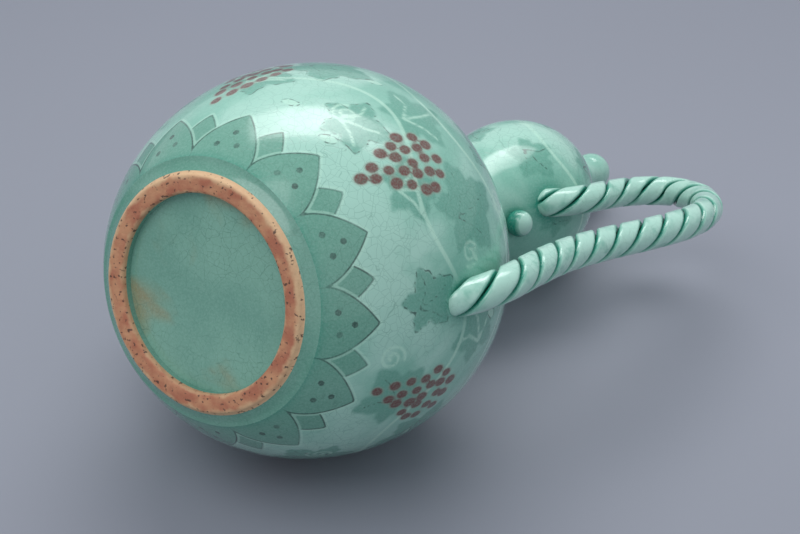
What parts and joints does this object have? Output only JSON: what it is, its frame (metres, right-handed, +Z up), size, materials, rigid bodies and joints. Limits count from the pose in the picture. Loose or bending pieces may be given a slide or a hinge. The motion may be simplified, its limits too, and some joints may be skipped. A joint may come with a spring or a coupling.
{
  "type": "gourd ewer",
  "caption": "Glazed double-gourd ewer on a low foot ring, with a narrow waist, small rolled mouth, side spout and twisted rope handle.",
  "frame": {"origin": "centre of the foot ring's underside, on the pot's axis", "axes": "+Z up along the pot's axis from foot to mouth, +X towards the handle, -X towards the spout"},
  "size_m": [0.1798, 0.135, 0.252],
  "materials": {
    "body_glaze": "glossy crazed celadon glaze",
    "rope_glaze": "glossy celadon glaze, pale on the ridges",
    "bare_clay": "matt unglazed stoneware"
  },
  "bodies": {
    "root": {"foot_ring": "bare_clay", "lower_bulb": "body_glaze", "upper_bulb": "body_glaze", "mouth_lip": "body_glaze", "spout": "body_glaze", "handle_strand_1": "rope_glaze", "handle_strand_2": "rope_glaze", "handle_strand_3": "rope_glaze", "handle_bud": "rope_glaze"}
  },
  "joints": []
}
